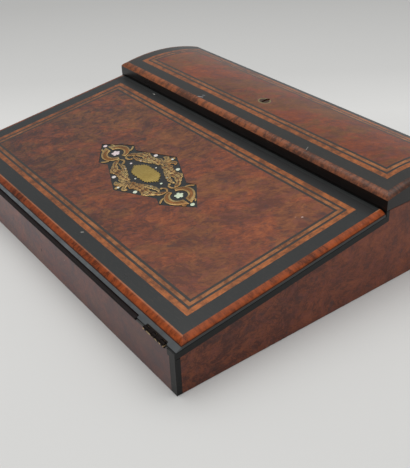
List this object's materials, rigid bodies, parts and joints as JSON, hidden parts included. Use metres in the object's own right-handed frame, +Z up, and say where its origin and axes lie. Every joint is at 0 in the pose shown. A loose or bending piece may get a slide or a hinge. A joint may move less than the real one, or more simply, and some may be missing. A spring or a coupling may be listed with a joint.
{
  "type": "writing box",
  "caption": "Low writing box with a sloping veneered lid over a leather writing surface, a crowned rear lid over a pen compartment, and an inlaid brass cartouche.",
  "frame": {"origin": "on the table under the middle of the box, halfway between the front and back hinge barrels", "axes": "+X to the right along the box's length as seen from the front, +Y from the low front edge towards the high back, +Z up"},
  "size_m": [0.34, 0.265, 0.0778],
  "materials": {
    "ground_wood": "oiled mahogany ground wood, open pored",
    "burl_veneer": "figured red-brown burl, french polished and a little dulled",
    "ebonised_wood": "ebonised, french polished",
    "stringing": "orange-brown stringing and bead, polished",
    "brass": "dulled polished brass",
    "copper": "reddish copper inlay, dulled",
    "pearl": "mother of pearl, polished",
    "leather": "dark red skiver, smooth",
    "ink_glass": "clear pressed glass",
    "steel": "filed steel"
  },
  "bodies": {
    "carcase": {"bottom_board": "ground_wood", "front_panel": "ground_wood", "back_panel": "ground_wood", "left_side": "ground_wood", "right_side": "ground_wood", "partition": "ebonised_wood", "front_veneer": "burl_veneer", "back_veneer": "burl_veneer", "left_veneer": "burl_veneer", "right_veneer": "burl_veneer", "corner_strings": "ebonised_wood", "side_edgings": "ebonised_wood", "flap_rests": "ground_wood", "writing_flap": "ground_wood", "flap_leather": "leather", "pen_tray": "ground_wood", "compartment_rail": "ground_wood", "cross_dividers": "ground_wood", "strike_plate": "brass", "front_hinge_leaves": "brass", "front_hinge_pins": "brass", "back_hinge_leaves": "brass", "back_hinge_pins": "brass", "carcase_screws": "brass", "inkwell_bottles": "ink_glass", "inkwell_collars": "brass", "inkwell_pins": "brass"},
    "slope_lid": {"slope_board": "ground_wood", "slope_edging": "ebonised_wood", "slope_bead": "stringing", "slope_border": "ebonised_wood", "slope_outer_string": "stringing", "slope_mid_line": "ebonised_wood", "slope_inner_string": "stringing", "slope_inner_line": "ebonised_wood", "slope_burl_panel": "burl_veneer", "cartouche_ground": "ebonised_wood", "cartouche_scrolls": "brass", "cartouche_copper": "copper", "cartouche_medallion": "brass", "cartouche_pearl": "pearl", "lid_leather": "leather", "slope_hinge_leaves": "brass", "slope_lid_screws": "brass"},
    "rear_lid": {"rear_lid_board": "ground_wood", "rear_edging": "ebonised_wood", "rear_bead": "stringing", "rear_border": "ebonised_wood", "rear_outer_string": "stringing", "rear_mid_line": "ebonised_wood", "rear_inner_string": "stringing", "rear_inner_line": "ebonised_wood", "rear_burl_panel": "burl_veneer", "keyhole_escutcheon": "brass", "lock_case": "brass", "rear_hinge_leaves": "brass", "rear_lid_screws": "brass"},
    "lock_bolt": {"lock_bolt": "steel"},
    "inkwell_cap_left": {"inkwell_cap_left": "brass"},
    "inkwell_cap_right": {"inkwell_cap_right": "brass"}
  },
  "joints": [
    {"name": "slope_lid_hinge", "type": "hinge", "parent": "carcase", "child": "slope_lid", "pos_m": [0, -0.1309, 0.03324], "axis": [1, 0, 0], "range_deg": [0, 180]},
    {"name": "rear_lid_hinge", "type": "hinge", "parent": "carcase", "child": "rear_lid", "pos_m": [0, 0.1309, 0.06259], "axis": [-1, 0, 0], "range_deg": [0, 100]},
    {"name": "lock_bolt_slide", "type": "slide", "parent": "rear_lid", "child": "lock_bolt", "axis": [0, -1, 0], "range_m": [0, 0.004]},
    {"name": "inkwell_cap_left_hinge", "type": "hinge", "parent": "carcase", "child": "inkwell_cap_left", "pos_m": [-0.144, 0.0814, 0.03265], "axis": [-1, 0, 0], "range_deg": [0, 100]},
    {"name": "inkwell_cap_right_hinge", "type": "hinge", "parent": "carcase", "child": "inkwell_cap_right", "pos_m": [0.144, 0.0814, 0.03265], "axis": [-1, 0, 0], "range_deg": [0, 100]}
  ]
}
